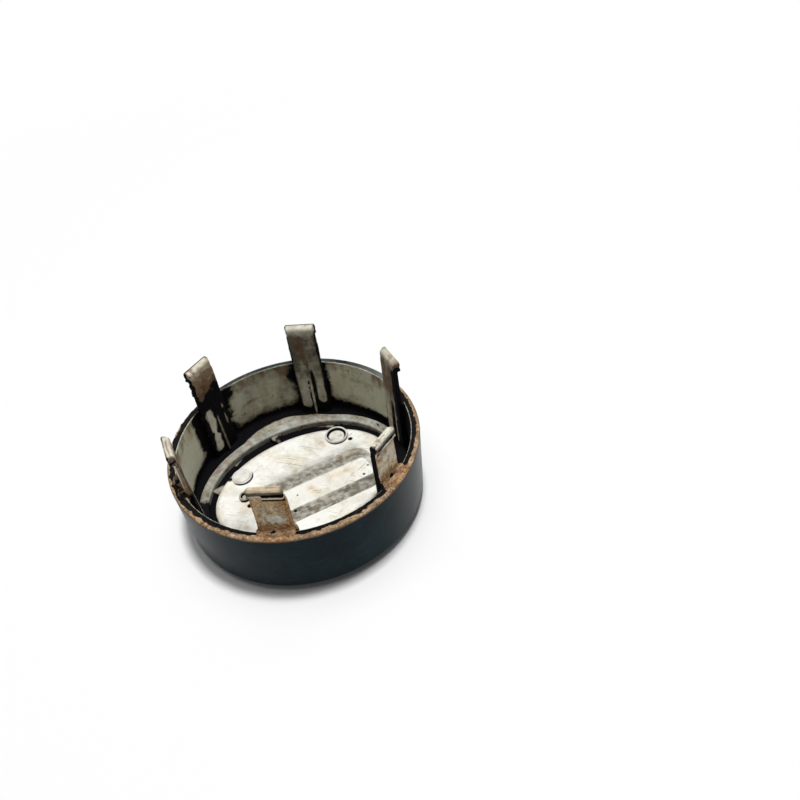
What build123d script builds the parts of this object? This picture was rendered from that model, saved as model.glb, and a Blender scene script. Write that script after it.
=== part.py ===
import os
from math import cos, radians, sin, sqrt

from build123d import *

# Wheel centre cap: a moulded plastic cup that clips into a wheel's centre bore by a ring of snap tabs.
# The painted face lies down, the open side and the tabs point up. All sizes are in millimetres.

# Cup wall and rim
rim_radius = 31.5
wall_height = 17.9
wall_draft = 0.7
ledge_width = 2.2
lip_width = 0.6
lip_height = 0.5
lip_round = 0.2
inner_draft = 0.3
rim_round = 0.35
wall_edge_round = 0.6

# Domed face, with a flat in its middle that the cap lies on
face_rise = 2.0
face_flat_radius = 10.0
face_thickness = 2.2

# How far everything that stands on the floor is sunk into it
floor_overlap = 0.5

# Snap tabs, from their roots in the floor to their crests
tab_count = 6
tab_reach = 13.6
tab_root_width = 8.2
tab_neck_width = 7.75
tab_root_thickness = 1.4
tab_neck_thickness = 1.15
tab_gap = 0.75
tab_join_width = 6.6
tab_join_drop = 0.6
tab_join_sink = 0.3
barb_width = 8.1
barb_overhang = 0.8
barb_depth = 1.9
barb_undercut = 0.5
head_below_barb = 0.3
crest_slope = 0.7
crest_setback = 0.3
crest_corner = 0.4
crest_round = 0.45

# Gusset on the inner side of each tab
gusset_thickness = 0.7
gusset_foot = 0.9
gusset_rise = 4.0

# Oval rib on the floor, and the oval plateau inside it
rib_end_gap = 0.8
rib_flattening = 5.2
rib_width = 2.6
rib_height = 1.3
rib_round = 0.5
groove_at_ends = 1.4
groove_at_sides = 3.2
plateau_height = 0.3
plateau_round = 0.6

# Raised pad on the plateau, with sloped flanks
pad_left = 14.5
pad_right = 19.0
pad_low_side = 11.5
pad_high_side = 4.3
pad_height = 0.9
pad_left_flank = 3.5
pad_right_flank = 2.4
pad_low_flank = 3.6
pad_high_flank = 5.8
pad_corner = 5.2
pad_top_corner = 1.2

# Round posts and the flat button on the plateau
post_along = 13.9
post_across = 10.6
post_radius = 3.15
post_wall = 0.5
post_height = 0.8
post_recess = 0.9
button_radius = 2.7
button_height = 0.45
small_post_along = 15.6
small_post_across = 3.4
small_post_radius = 1.5
small_post_wall = 0.45
small_post_height = 0.8
small_post_recess = 1.0
sink_pit_along = 16.75
sink_pit_across = 7.7
sink_pit_radius = 0.55
sink_pit_depth = 0.7

# Triangular webs across the groove between the plateau and the rib, by their turn from +X
plateau_web_turn = 155.0
rib_web_turn = 92.0
web_width = 3.8
web_overlap = 0.5
web_drop = 0.2

# Levels and radii that follow from the sizes above
rim_height = face_rise + wall_height
lip_top = rim_height + lip_height
crest_height = rim_height + tab_reach
face_edge_radius = rim_radius - wall_draft
mouth_radius = rim_radius - ledge_width
floor_radius = mouth_radius - inner_draft
dome_radius = ((face_edge_radius - face_flat_radius) ** 2 + face_rise**2) / (2 * face_rise)


def floor_height(radius):
    """Height of the cup's floor at a radius outside the flat, where it follows the dome."""
    return face_thickness + dome_radius - sqrt(dome_radius**2 - (radius - face_flat_radius) ** 2)


floor_edge_height = floor_height(floor_radius)
tab_back = mouth_radius - tab_gap
neck_front = tab_back - tab_neck_thickness
root_level = floor_height(tab_back - tab_root_thickness - gusset_foot) - floor_overlap
barb_level = crest_height - barb_depth
head_level = barb_level - barb_undercut - head_below_barb
rib_long = floor_radius - rib_end_gap
rib_short = rib_long - rib_flattening
plateau_long = rib_long - rib_width - groove_at_ends
plateau_short = rib_short - rib_width - groove_at_sides
rib_top = floor_edge_height + rib_height
plateau_top = floor_edge_height + plateau_height
pad_top = plateau_top + pad_height
post_top = plateau_top + post_height
small_post_top = plateau_top + small_post_height
plateau_foot = face_thickness - floor_overlap
rib_foot = floor_height(rib_short - rib_width) - floor_overlap

# One snap tab, standing on the +X side: a tapered stem, its hooked crest, the gusset on its inner side
# and the block that joins it to the cup's wall below the rim
with BuildPart() as snap_tab:
    with BuildSketch(Plane.XY.offset(root_level)):
        with Locations((tab_back - tab_root_thickness / 2, 0)):
            Rectangle(tab_root_thickness, tab_root_width)
    with BuildSketch(Plane.XY.offset(head_level)):
        with Locations((tab_back - tab_neck_thickness / 2, 0)):
            Rectangle(tab_neck_thickness, tab_neck_width)
    loft()
    with BuildSketch(Plane.XZ) as head:
        with BuildLine():
            Polyline(
                (neck_front, head_level),
                (neck_front, crest_height - crest_slope),
                (tab_back + barb_overhang - crest_setback, crest_height),
                (tab_back + barb_overhang, crest_height - crest_corner),
                (tab_back + barb_overhang, barb_level),
                (tab_back, barb_level - barb_undercut),
                (tab_back, head_level),
                close=True,
            )
        make_face()
        fillet(head.vertices().sort_by_distance((neck_front, crest_height))[0], crest_round)
        fillet(head.vertices().sort_by(Axis.Y)[-1], crest_setback / 2)
    extrude(amount=barb_width / 2, both=True)
    with BuildSketch(Plane.XZ):
        with BuildLine():
            Polyline(
                (tab_back - tab_root_thickness / 2, root_level),
                (tab_back - tab_root_thickness - gusset_foot, root_level),
                (neck_front, rim_height + gusset_rise),
                (tab_back - tab_neck_thickness / 2, rim_height + gusset_rise),
                close=True,
            )
        make_face()
    extrude(amount=gusset_thickness / 2, both=True)
    with BuildSketch(Plane.XZ):
        with BuildLine():
            Polyline(
                (tab_back - tab_neck_thickness / 2, root_level),
                (mouth_radius + tab_join_sink, root_level),
                (mouth_radius + tab_join_sink, rim_height - tab_join_drop),
                (tab_back - tab_neck_thickness / 2, rim_height - tab_join_drop),
                close=True,
            )
        make_face()
    extrude(amount=tab_join_width / 2, both=True)


def oval_radius(long, short, turn):
    """Distance from the middle of an oval to its edge, at a turn in degrees from its long axis."""
    return 1 / sqrt((cos(radians(turn)) / long) ** 2 + (sin(radians(turn)) / short) ** 2)


def groove_span(turn):
    """Radii of the plateau's edge and of the rib's inner side at a turn from +X, with the webs' overlap."""
    start = oval_radius(plateau_long, plateau_short, turn) - web_overlap
    end = oval_radius(rib_long - rib_width, rib_short - rib_width, turn) + web_overlap
    return start, end


# The cap itself, moulded in one piece
with BuildPart() as centre_cap:
    # Oval plateau
    with BuildSketch(Plane.XY.offset(plateau_foot)):
        Ellipse(plateau_long, plateau_short)
    extrude(amount=plateau_top - plateau_foot)
    fillet(centre_cap.faces().sort_by(Axis.Z)[-1].edges(), plateau_round)

    # Oval rib
    with BuildSketch(Plane.XY.offset(rib_foot)):
        Ellipse(rib_long, rib_short)
        Ellipse(rib_long - rib_width, rib_short - rib_width, mode=Mode.SUBTRACT)
    extrude(amount=rib_top - rib_foot)
    fillet(centre_cap.faces().sort_by(Axis.Z)[-1].edges(), rib_round)

    # Webs: one is broad on the plateau and points at the rib, the other the reverse
    with BuildSketch(Plane.XY.offset(plateau_foot)):
        start, end = groove_span(plateau_web_turn)
        with PolarLocations(0, 1, start_angle=plateau_web_turn):
            Polygon((start, -web_width / 2), (end, 0), (start, web_width / 2), align=None)
        start, end = groove_span(rib_web_turn)
        with PolarLocations(0, 1, start_angle=rib_web_turn):
            Polygon((end, -web_width / 2), (end, web_width / 2), (start, 0), align=None)
    extrude(amount=plateau_top - web_drop - plateau_foot)

    # Cup
    with BuildSketch(Plane.XZ) as section:
        with BuildLine():
            Line((0, 0), (face_flat_radius, 0))
            TangentArc((face_flat_radius, 0), (face_edge_radius, face_rise), tangent=(1, 0))
            Line((face_edge_radius, face_rise), (rim_radius, rim_height))
            Polyline(
                (rim_radius, rim_height),
                (mouth_radius + lip_width, rim_height),
                (mouth_radius + lip_width, lip_top),
                (mouth_radius, lip_top),
                (floor_radius, floor_edge_height),
            )
            TangentArc((face_flat_radius, face_thickness), (floor_radius, floor_edge_height), tangent=(1, 0))
            Line((face_flat_radius, face_thickness), (0, face_thickness))
            Line((0, face_thickness), (0, 0))
        make_face()
        fillet(section.vertices().sort_by_distance((face_edge_radius, face_rise))[0], wall_edge_round)
        fillet(section.vertices().sort_by_distance((rim_radius, rim_height))[0], rim_round)
        fillet(section.vertices().sort_by_distance((mouth_radius + lip_width, lip_top))[0], lip_round)
        fillet(section.vertices().sort_by_distance((mouth_radius, lip_top))[0], lip_round)
    revolve(axis=Axis.Z)

    # Raised pad
    with BuildSketch(Plane.XY.offset(plateau_top)):
        with Locations(((pad_right - pad_left) / 2, (pad_high_side - pad_low_side) / 2)):
            RectangleRounded(pad_left + pad_right, pad_low_side + pad_high_side, pad_corner)
    with BuildSketch(Plane.XY.offset(pad_top)):
        top_left = -pad_left + pad_left_flank
        top_right = pad_right - pad_right_flank
        top_low = -pad_low_side + pad_low_flank
        top_high = pad_high_side - pad_high_flank
        with Locations(((top_left + top_right) / 2, (top_low + top_high) / 2)):
            RectangleRounded(top_right - top_left, top_high - top_low, pad_top_corner)
    loft()

    # Posts, button and sink pit
    with BuildSketch(Plane.XY.offset(plateau_foot)):
        with Locations((post_along, post_across)):
            Circle(post_radius)
    extrude(amount=post_top - plateau_foot)
    with BuildSketch(Plane.XY.offset(post_top)):
        with Locations((post_along, post_across)):
            Circle(post_radius - post_wall)
    extrude(amount=-post_recess, mode=Mode.SUBTRACT)
    with BuildSketch(Plane.XY.offset(plateau_foot)):
        with Locations((-post_along, post_across)):
            Circle(button_radius)
    extrude(amount=plateau_top + button_height - plateau_foot)
    with BuildSketch(Plane.XY.offset(plateau_foot)):
        with Locations((-small_post_along, small_post_across)):
            Circle(small_post_radius)
    extrude(amount=small_post_top - plateau_foot)
    with BuildSketch(Plane.XY.offset(small_post_top)):
        with Locations((-small_post_along, small_post_across)):
            Circle(small_post_radius - small_post_wall)
    extrude(amount=-small_post_recess, mode=Mode.SUBTRACT)
    with BuildSketch(Plane.XY.offset(plateau_top)):
        with Locations((sink_pit_along, sink_pit_across)):
            Circle(sink_pit_radius)
    extrude(amount=-sink_pit_depth, mode=Mode.SUBTRACT)

    # Snap tabs
    with PolarLocations(0, tab_count):
        add(snap_tab.part)

centre_cap.part.label = "centre_cap"
os.makedirs("parts", exist_ok=True)
export_step(centre_cap.part, "parts/centre_cap.step")
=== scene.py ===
import bpy
import numpy as np
from mathutils import Matrix, Vector


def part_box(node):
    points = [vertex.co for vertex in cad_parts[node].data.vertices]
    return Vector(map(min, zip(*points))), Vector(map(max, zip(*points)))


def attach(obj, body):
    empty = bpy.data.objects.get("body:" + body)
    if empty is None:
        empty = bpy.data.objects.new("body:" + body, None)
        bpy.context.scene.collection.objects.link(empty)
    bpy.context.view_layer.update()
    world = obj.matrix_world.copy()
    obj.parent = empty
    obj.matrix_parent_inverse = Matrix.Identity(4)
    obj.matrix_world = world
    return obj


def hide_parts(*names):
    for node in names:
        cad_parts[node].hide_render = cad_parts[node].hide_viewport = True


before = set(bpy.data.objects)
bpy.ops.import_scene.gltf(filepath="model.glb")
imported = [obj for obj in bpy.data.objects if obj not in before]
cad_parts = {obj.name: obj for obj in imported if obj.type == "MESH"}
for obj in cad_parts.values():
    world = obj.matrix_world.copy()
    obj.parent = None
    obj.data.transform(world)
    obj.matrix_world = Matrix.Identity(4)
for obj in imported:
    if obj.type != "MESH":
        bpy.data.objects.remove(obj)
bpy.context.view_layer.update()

# The moulded cup: a shallow domed face, a tall drafted wall and a flat rim ledge, injection moulded
# in white plastic and sprayed with satin dark paint from outside, so the inside is bare plastic.
mm = 0.001
rim_radius = 31.49
rim_height = 19.9
lip_top = 20.4
lip_width = 0.6
wall_foot_radius = 30.8
wall_foot_height = 2.0
face_flat_radius = 10.0
face_thickness = 2.2
mouth_radius = 29.3
floor_radius = 29.0
edge_round = 0.6
rim_round = 0.35
lip_round = 0.2
lip_foot_round = 0.1
floor_corner_round = 0.9
dome_radius = ((wall_foot_radius - face_flat_radius) ** 2 + wall_foot_height**2) / (2 * wall_foot_height)


def dome(radius):
    """Height of the domed face at a radius: zero on the flat, then a large arc that starts tangent to it."""
    out = np.clip(np.asarray(radius, float) - face_flat_radius, 0, None)
    return dome_radius - np.sqrt(dome_radius**2 - out**2)


def bent(before, corner, after, reach, count):
    """Rounds a profile's corner: a quadratic curve from a point short of it to a point past it."""
    before, corner, after = (np.asarray(p, float) for p in (before, corner, after))
    start = corner + reach * (before - corner) / np.linalg.norm(before - corner)
    end = corner + reach * (after - corner) / np.linalg.norm(after - corner)
    t = np.linspace(0, 1, count)[:, None]
    return (1 - t) ** 2 * start + 2 * t * (1 - t) * corner + t**2 * end


def straight(start, end, count):
    """Evenly spaced points between two profile points, without the two ends."""
    t = np.linspace(0, 1, count + 2)[1:-1, None]
    return (1 - t) * np.asarray(start, float) + t * np.asarray(end, float)


def around(along, across, turn, height):
    """Points on ovals about the cap's axis, from half lengths along x and y, turns in radians and heights."""
    return np.stack(np.broadcast_arrays(along * np.cos(turn), across * np.sin(turn), height), axis=-1)


def lumps(points, size, seed):
    """Smooth random lumps from -1 to 1: random values on a cubic lattice, blended between its corners by
    smooth steps."""
    q = np.asarray(points, float) / size + 19.19 * seed
    cell = np.floor(q)
    part = q - cell
    part = part * part * (3 - 2 * part)
    total = np.zeros(q.shape[:-1])
    for corner in np.ndindex(2, 2, 2):
        wave = np.sin((cell + corner) @ np.array((127.1, 311.7, 74.7))) * 43758.5453
        share = np.prod(np.where(np.array(corner, bool), part, 1 - part), axis=-1)
        total += share * (wave - np.floor(wave))
    return 2 * total - 1


def ramp(value, start, end):
    """Smooth step from 0 at start to 1 at end."""
    t = np.clip((np.asarray(value, float) - start) / (end - start), 0, 1)
    return t * t * (3 - 2 * t)


def fall(value, start, end):
    """Smooth step from 1 at start to 0 at end."""
    return 1 - ramp(value, start, end)


def bell(offset, size):
    """A soft bell: 1 where the offset is nought, and nearly nought at twice its size."""
    return np.exp(-((offset / size) ** 2))


def spot(across, across_size, up, up_size):
    """A soft spot: a bell in two directions, from offsets and sizes."""
    return np.exp(-((across / across_size) ** 2) - (up / up_size) ** 2)


def skin(name, rings, masks, material, loop=False, moulded=True):
    """Closes a stack of rings, in millimetres, into one surface: each ring joins the next all the way round.
    The first and last rings are closed by fans to their middles, or joined to each other where loop is set.
    Masks are values per point. What is moulded replaces the solid."""
    count, points_around = rings.shape[:2]
    index = np.arange(count * points_around).reshape(count, points_around)
    lower, upper = (index, np.roll(index, -1, axis=0)) if loop else (index[:-1], index[1:])
    sides = [lower, np.roll(lower, -1, axis=1), np.roll(upper, -1, axis=1), upper]
    quads = np.stack(sides, axis=-1).reshape(-1, 4)
    points = rings.reshape(-1, 3) * mm
    fields = {key: np.broadcast_to(value, index.shape) for key, value in masks.items()}
    values = {key: field.reshape(-1) for key, field in fields.items()}
    fans = np.zeros((0, 3), int)
    if not loop:
        points = np.concatenate([points, rings[[0, -1]].mean(axis=1) * mm])
        values = {key: np.append(values[key], fields[key][[0, -1]].mean(axis=1)) for key in values}
        first = np.stack([np.roll(index[0], -1), index[0], np.full(points_around, index.size)], axis=-1)
        last = np.stack([index[-1], np.roll(index[-1], -1), np.full(points_around, index.size + 1)], axis=-1)
        fans = np.concatenate([first, last])
    halves = np.concatenate([quads[:, [0, 1, 2]], quads[:, [0, 2, 3]], fans])
    a, b, c = (points[halves[:, k]] for k in range(3))
    if np.einsum("ij,ij->", a, np.cross(b, c)) < 0:
        quads, fans = quads[:, ::-1], fans[:, ::-1]
    mesh = bpy.data.meshes.new(name)
    mesh.from_pydata(points.tolist(), [], quads.tolist() + fans.tolist(), shade_flat=False)
    for key, value in values.items():
        mesh.attributes.new(key, "FLOAT", "POINT").data.foreach_set("value", value.astype(np.float32))
    mesh.materials.append(material)
    piece = bpy.data.objects.new(name, mesh)
    bpy.context.scene.collection.objects.link(piece)
    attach(piece, "root")
    if moulded:
        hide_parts("centre_cap")


def srgb(red, green, blue):
    """A colour with channels from 0 to 255, as screens give it, in the linear light that shaders work in."""
    c = np.array((red, green, blue)) / 255
    return (*np.where(c <= 0.04045, c / 12.92, ((c + 0.055) / 1.055) ** 2.4), 1.0)


def add(tree, kind, sockets=None, **settings):
    """Adds a shader node, with its settings, and sets or links its input sockets by name or number."""
    made = tree.nodes.new(kind)
    for key, value in settings.items():
        setattr(made, key, value)
    for key, value in (sockets or {}).items():
        if isinstance(value, bpy.types.NodeSocket):
            tree.links.new(value, made.inputs[key])
        else:
            made.inputs[key].default_value = value
    return made


def math(tree, operation, first, second):
    """The result of one sum on two values."""
    return add(tree, "ShaderNodeMath", {0: first, 1: second}, operation=operation).outputs[0]


def times(tree, first, second):
    """One value times another."""
    return math(tree, "MULTIPLY", first, second)


def plus(tree, first, second):
    """One value plus another."""
    return math(tree, "ADD", first, second)


def blended(tree, factor, first, second, how="MIX"):
    """Two colours blended by a factor."""
    sockets = {0: factor, 6: first, 7: second}
    return add(tree, "ShaderNodeMix", sockets, data_type="RGBA", blend_type=how).outputs[2]


def stepped(tree, value, start, end, low=0.0, high=1.0):
    """A smooth step of a value between two limits."""
    sockets = {0: value, 1: start, 2: end, 3: low, 4: high}
    return add(tree, "ShaderNodeMapRange", sockets, interpolation_type="SMOOTHSTEP").outputs[0]


def cloud(tree, vector, scale, detail=4.0, roughness=0.55):
    """Fractal noise from 0 to 1, with its scale in cells for each metre."""
    sockets = {"Vector": vector, "Scale": scale, "Detail": detail, "Roughness": roughness}
    return add(tree, "ShaderNodeTexNoise", sockets).outputs["Fac"]


def stretched(tree, vector, scale, turn=(0.0, 0.0, 0.0)):
    """Coordinates turned and then scaled apart along their axes, so that noise on them becomes streaks."""
    turned = add(tree, "ShaderNodeMapping", {"Vector": vector, "Rotation": turn})
    return add(tree, "ShaderNodeMapping", {"Vector": turned.outputs[0], "Scale": scale}).outputs[0]


def new_group(name, inputs, outputs):
    """An empty shader node group with named sockets; returns it with its input and output nodes."""
    group = bpy.data.node_groups.new(name, "ShaderNodeTree")
    for way, sockets in (("INPUT", inputs), ("OUTPUT", outputs)):
        for socket, kind in sockets.items():
            group.interface.new_socket(name=socket, in_out=way, socket_type="NodeSocket" + kind)
    return group, group.nodes.new("NodeGroupInput").outputs, group.nodes.new("NodeGroupOutput").inputs


def placed(tree, group, sockets):
    """Puts a node group into a material with its own values, and returns its outputs."""
    return add(tree, "ShaderNodeGroup", sockets, node_tree=group).outputs


# Dirt ends in a ragged line: a smooth amount is pushed up and down by noise, then cut sharply.
ragged, given, put = new_group(
    "ragged_edge",
    {"Vector": "Vector", "Amount": "Float", "Scale": "Float", "Raggedness": "Float", "Softness": "Float"},
    {"Mask": "Float"},
)
noise = cloud(ragged, given["Vector"], given["Scale"], 8.0, 0.62)
pushed = times(ragged, math(ragged, "SUBTRACT", noise, 0.5), given["Raggedness"])
pushed = plus(ragged, given["Amount"], pushed)
low_cut = math(ragged, "SUBTRACT", 0.5, given["Softness"])
high_cut = plus(ragged, 0.5, given["Softness"])
ragged.links.new(stepped(ragged, pushed, low_cut, high_cut), put["Mask"])


def ragged_mask(tree, vector, amount, scale, raggedness, softness):
    """Where an amount of dirt is above a half, with a ragged edge."""
    edge = {"Scale": scale, "Raggedness": raggedness, "Softness": softness}
    return placed(tree, ragged, {"Vector": vector, "Amount": amount, **edge})["Mask"]


# Fine scratches: noise stretched into thin lines at two turns, kept only in patches.
scratched, given, put = new_group("fine_scratches", {"Vector": "Vector"}, {"Mask": "Float"})
first = stretched(scratched, given["Vector"], (140.0, 3600.0, 900.0), (0.0, 0.0, 0.75))
second = stretched(scratched, given["Vector"], (170.0, 3000.0, 900.0), (0.0, 0.0, -0.5))
first = stepped(scratched, cloud(scratched, first, 1.0, 2.0, 0.5), 0.64, 0.7)
second = stepped(scratched, cloud(scratched, second, 1.0, 2.0, 0.5), 0.66, 0.72)
lines = math(scratched, "MAXIMUM", first, second)
patches = stepped(scratched, cloud(scratched, given["Vector"], 130.0, 3.0), 0.45, 0.6)
scratched.links.new(times(scratched, lines, patches), put["Mask"])

# Bare moulded plastic that has yellowed, been scratched, and taken brown stains, a grey veil, road soil and
# greasy black grime with a thin film around it. The grey veil and the black grime also carry painted shade.
dirt_names = ("grime", "brown", "soil", "warm", "veil")
plastic, given, put = new_group(
    "old_plastic",
    {"Vector": "Vector", "Tint": "Color", **{name.capitalize(): "Float" for name in dirt_names}},
    {"Color": "Color", "Roughness": "Float", "Height": "Float"},
)
vector = given["Vector"]
yellow = stepped(plastic, cloud(plastic, vector, 160.0, 5.0, 0.6), 0.46, 0.68, 0.0, 0.5)
tone = blended(plastic, yellow, given["Tint"], srgb(222, 206, 176), "MULTIPLY")
tone = blended(plastic, given["Warm"], tone, srgb(238, 202, 156), "MULTIPLY")
streaks = cloud(plastic, stretched(plastic, vector, (900.0, 900.0, 130.0)), 1.0, 5.0, 0.6)
streaks = stepped(plastic, streaks, 0.5, 0.78, 0.0, 0.28)
tone = blended(plastic, streaks, tone, srgb(164, 150, 128), "MULTIPLY")
specks = stepped(plastic, cloud(plastic, vector, 1700.0, 3.0, 0.7), 0.67, 0.75, 0.0, 0.55)
tone = blended(plastic, specks, tone, srgb(104, 86, 66))
mottle = stepped(plastic, cloud(plastic, vector, 620.0, 6.0, 0.68), 0.32, 0.68, 0.7, 1.3)
# The veil's grey-brown tone stands for dust and also for painted shade on walls, flanks and tab faces.
veil = times(plastic, given["Veil"], mottle)
tone = blended(plastic, math(plastic, "MINIMUM", veil, 0.95), tone, srgb(104, 97, 81))
scratches = placed(plastic, scratched, {"Vector": vector})["Mask"]
tone = blended(plastic, times(plastic, scratches, 0.55), tone, srgb(92, 82, 70))
brown = ragged_mask(plastic, vector, given["Brown"], 420.0, 1.0, 0.25)
brown_tone = blended(plastic, cloud(plastic, vector, 900.0, 5.0), srgb(88, 56, 40), srgb(154, 116, 86))
tone = blended(plastic, times(plastic, brown, 0.72), tone, brown_tone)
soil = ragged_mask(plastic, vector, given["Soil"], 560.0, 1.1, 0.2)
soil_patches = stepped(plastic, cloud(plastic, vector, 420.0, 6.0, 0.65), 0.4, 0.6)
soil_tone = blended(plastic, soil_patches, srgb(146, 108, 64), srgb(212, 184, 134))
soil_tone = blended(plastic, given["Warm"], soil_tone, srgb(236, 188, 132), "MULTIPLY")
soil_grains = cloud(plastic, vector, 2300.0, 4.0, 0.75)
pale_grains = stepped(plastic, soil_grains, 0.53, 0.63, 0.0, 0.7)
dark_grains = stepped(plastic, soil_grains, 0.46, 0.38, 0.0, 0.8)
soil_tone = blended(plastic, pale_grains, soil_tone, srgb(244, 230, 194))
soil_tone = blended(plastic, dark_grains, soil_tone, srgb(86, 62, 40))
tone = blended(plastic, times(plastic, soil, 0.86), tone, soil_tone)
film = ragged_mask(plastic, vector, plus(plastic, given["Grime"], 0.16), 520.0, 0.9, 0.2)
tone = blended(plastic, times(plastic, film, 0.65), tone, srgb(70, 62, 55))
# The black also stands for painted shade: shadows under the hooks, beside the posts and in their wells.
grime = ragged_mask(plastic, vector, given["Grime"], 640.0, 0.9, 0.1)
grime_and_shade_tone = blended(plastic, cloud(plastic, vector, 1100.0, 4.0), srgb(6, 6, 9), srgb(22, 21, 23))
tone = blended(plastic, grime, tone, grime_and_shade_tone)
gloss = plus(plastic, times(plastic, cloud(plastic, vector, 700.0, 5.0), 0.22), 0.34)
for dirt_mask, dullness in ((brown, 0.15), (soil, 0.35), (grime, 0.4)):
    gloss = plus(plastic, gloss, times(plastic, dirt_mask, dullness))
gloss = math(plastic, "MINIMUM", gloss, 0.95)
micro = times(plastic, cloud(plastic, vector, 2600.0, 4.0), 0.22)
lumpy = math(plastic, "MAXIMUM", grime, times(plastic, soil, 0.8))
crust = times(plastic, times(plastic, lumpy, cloud(plastic, vector, 1500.0, 6.0, 0.7)), 1.3)
height = math(plastic, "SUBTRACT", plus(plastic, micro, crust), times(plastic, scratches, 0.3))
plastic.links.new(tone, put["Color"])
plastic.links.new(gloss, put["Roughness"])
plastic.links.new(height, put["Height"])


def mask_of(tree, name):
    """The value that a mesh carries for each point under a name."""
    return add(tree, "ShaderNodeAttribute", attribute_name=name).outputs["Fac"]


def dirt(tree, tint, place):
    """Old plastic of one tint, with the dirt and painted shade that its mesh carries under their names."""
    sockets = {"Vector": place, "Tint": tint}
    sockets.update({name.capitalize(): mask_of(tree, name) for name in dirt_names})
    return placed(tree, plastic, sockets)


def new_material(name):
    """A new material; returns it with its node tree and the place on its object, in metres."""
    made = bpy.data.materials.new(name)
    made.use_nodes = True
    return made, made.node_tree, add(made.node_tree, "ShaderNodeTexCoord").outputs["Object"]


def surface(tree, tone, gloss, height, strength, distance, specular):
    """Gives a material's own shader a colour, a roughness, a bump and a constant specular level."""
    relief = add(tree, "ShaderNodeBump", {"Height": height, "Strength": strength, "Distance": distance})
    shader = tree.nodes["Principled BSDF"]
    for name, value in (("Base Color", tone), ("Roughness", gloss), ("Normal", relief.outputs[0])):
        tree.links.new(value, shader.inputs[name])
    shader.inputs["Specular IOR Level"].default_value = specular


def plastic_material(name, tint):
    """A material of bare old plastic, in one tint."""
    made, tree, place = new_material(name)
    old = dirt(tree, tint, place)
    surface(tree, old["Color"], old["Roughness"], old["Height"], 0.4, 0.00012, 0.07)
    return made


cup_paint, tree, place = new_material("painted_cup")
bare = dirt(tree, srgb(232, 232, 211), place)
paint = ragged_mask(tree, place, mask_of(tree, "paint"), 900.0, 0.5, 0.05)
around_streaks = cloud(tree, stretched(tree, place, (160.0, 160.0, 900.0)), 1.0, 6.0, 0.6)
around_streaks = stepped(tree, around_streaks, 0.56, 0.82, 0.0, 0.3)
uneven = cloud(tree, place, 90.0, 6.0, 0.62)
paint_tone = blended(tree, stepped(tree, uneven, 0.36, 0.7), srgb(11, 27, 33), srgb(25, 42, 48))
paint_tone = blended(tree, around_streaks, paint_tone, srgb(72, 80, 80))
chips = stepped(tree, cloud(tree, place, 1900.0, 2.0, 0.4), 0.76, 0.8, 0.0, 0.5)
paint_tone = blended(tree, chips, paint_tone, srgb(108, 108, 102))
# Painted sheen: a light grey laid over the paint where the mesh marks it.
paint_tone = blended(tree, mask_of(tree, "painted_sheen"), paint_tone, srgb(140, 144, 138))
dust = ragged_mask(tree, place, mask_of(tree, "dust"), 700.0, 0.9, 0.2)
paint_tone = blended(tree, times(tree, dust, 0.7), paint_tone, srgb(132, 104, 80))
paint_gloss = plus(tree, stepped(tree, uneven, 0.3, 0.75, 0.27, 0.38), times(tree, dust, 0.3))
peel = times(tree, cloud(tree, place, 1400.0, 3.0), 0.25)
tone = blended(tree, paint, bare["Color"], paint_tone)
gloss = add(tree, "ShaderNodeMix", {0: paint, 2: bare["Roughness"], 3: paint_gloss}).outputs[0]
height = add(tree, "ShaderNodeMix", {0: paint, 2: bare["Height"], 3: peel}).outputs[0]
surface(tree, tone, gloss, plus(tree, height, times(tree, paint, 0.6)), 0.35, 0.00012, 0.04)

# The profile runs from the middle of the face, out and up the wall, over the shoulder and the lip of the
# rim, and down inside to the floor's middle. For each corner: its place, how far it is rounded, the points
# on its bend, and the points on the straight after it.
floor_edge_height = face_thickness + dome(floor_radius)
corners = (
    ((wall_foot_radius, wall_foot_height), edge_round, 6, 58),
    ((rim_radius, rim_height), rim_round, 6, 8),
    ((mouth_radius + lip_width, rim_height), lip_foot_round, 3, 2),
    ((mouth_radius + lip_width, lip_top), lip_round, 5, 2),
    ((mouth_radius, lip_top), lip_round, 5, 60),
    ((floor_radius, floor_edge_height), floor_corner_round, 6, 0),
)
face_radii = np.concatenate([np.linspace(0.6, face_flat_radius, 8), np.linspace(10.6, 30.1, 34)])
face = np.stack([face_radii, dome(face_radii)], axis=-1)
floor_radii = np.concatenate([np.linspace(27.8, 18.4, 32), np.linspace(17.0, 0.6, 6)])
floor = np.stack([floor_radii, face_thickness + dome(floor_radii)], axis=-1)
places = [face[-1], *(corner[0] for corner in corners), floor[0]]
bends = [bent(*places[k:k + 3], reach, count) for k, (_, reach, count, _) in enumerate(corners)]
stretches = [face, bends[0]]
for bend, next_bend, (_, _, _, count) in zip(bends, bends[1:], corners):
    stretches += [straight(bend[-1], next_bend[0], count), next_bend]
profile = np.concatenate([*stretches, floor])
before_mouth = sum(len(stretch) for stretch in stretches[:9])
run = np.concatenate([[0], np.cumsum(np.linalg.norm(np.diff(profile, axis=0), axis=1))])[:, None]
past_mouth = run - run[before_mouth + 1]
inside = past_mouth > -0.3
turn = np.linspace(0, 2 * np.pi, 400, endpoint=False)
rings = around(profile[:, :1], profile[:, :1], turn, profile[:, 1:])

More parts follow.
